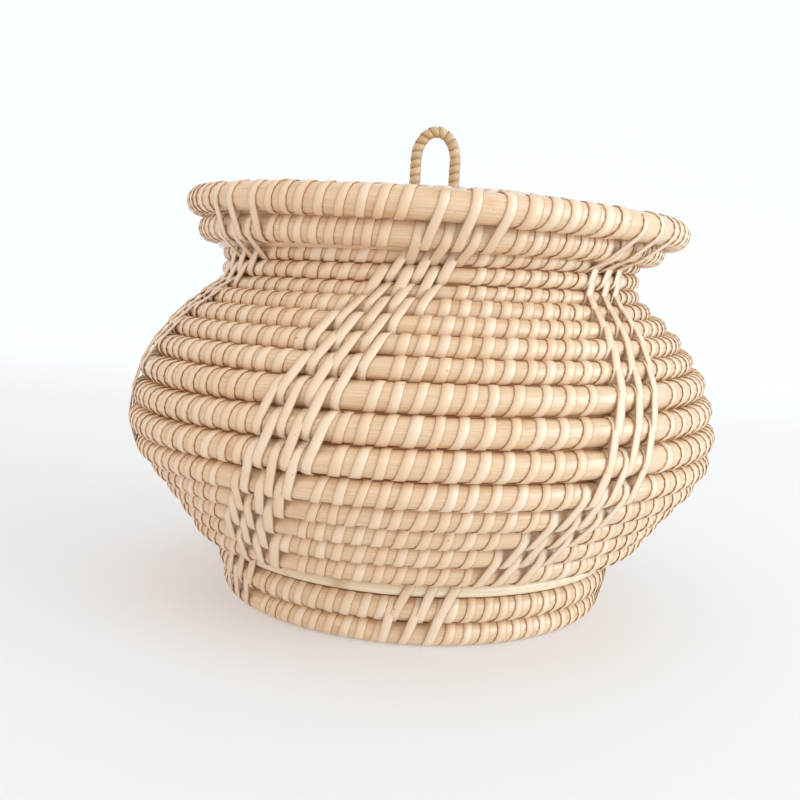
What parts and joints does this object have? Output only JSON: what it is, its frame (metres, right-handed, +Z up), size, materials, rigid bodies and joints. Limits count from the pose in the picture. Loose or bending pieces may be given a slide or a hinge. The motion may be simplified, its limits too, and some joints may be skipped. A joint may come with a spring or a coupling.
{
  "type": "lidded basket",
  "caption": "Round-bellied basket of coiled, peel-bound rattan cane with a flared neck, a foot ring and a domed lift-off lid with a loop handle.",
  "frame": {"origin": "on the floor, under the middle of the foot ring", "axes": "+Z up along the basket's axis, -Y towards the front that the picture shows, +X to its right; the loop stands in the XZ plane"},
  "size_m": [0.2216, 0.2219, 0.18],
  "materials": {
    "bound_cane": "dry matt cane under satin peel binding",
    "bare_cane": "smooth satin cane",
    "peel": "satin outer peel of cane",
    "dark_cane": "dry brown cane"
  },
  "bodies": {
    "basket": {"foot_lower_ring": "bound_cane", "foot_upper_ring": "bound_cane", "spacer_ring": "bare_cane", "base_coil": "bound_cane", "lower_wall_cane": "bound_cane", "belly_cane": "bound_cane", "shoulder_cane": "bound_cane", "neck_cane": "bound_cane", "flare_ring": "bound_cane", "rim_ring": "bound_cane"},
    "lid": {"lid_edge_ring": "bound_cane", "lid_coil": "bound_cane", "heart_cane": "bound_cane", "loop_cane": "dark_cane", "loop_wrap": "peel", "left_tail_tie": "peel", "right_tail_tie": "peel"}
  },
  "joints": [
    {"name": "lid_lift", "type": "slide", "parent": "basket", "child": "lid", "axis": [0, 0, 1], "range_m": [0, 0.12]}
  ]
}
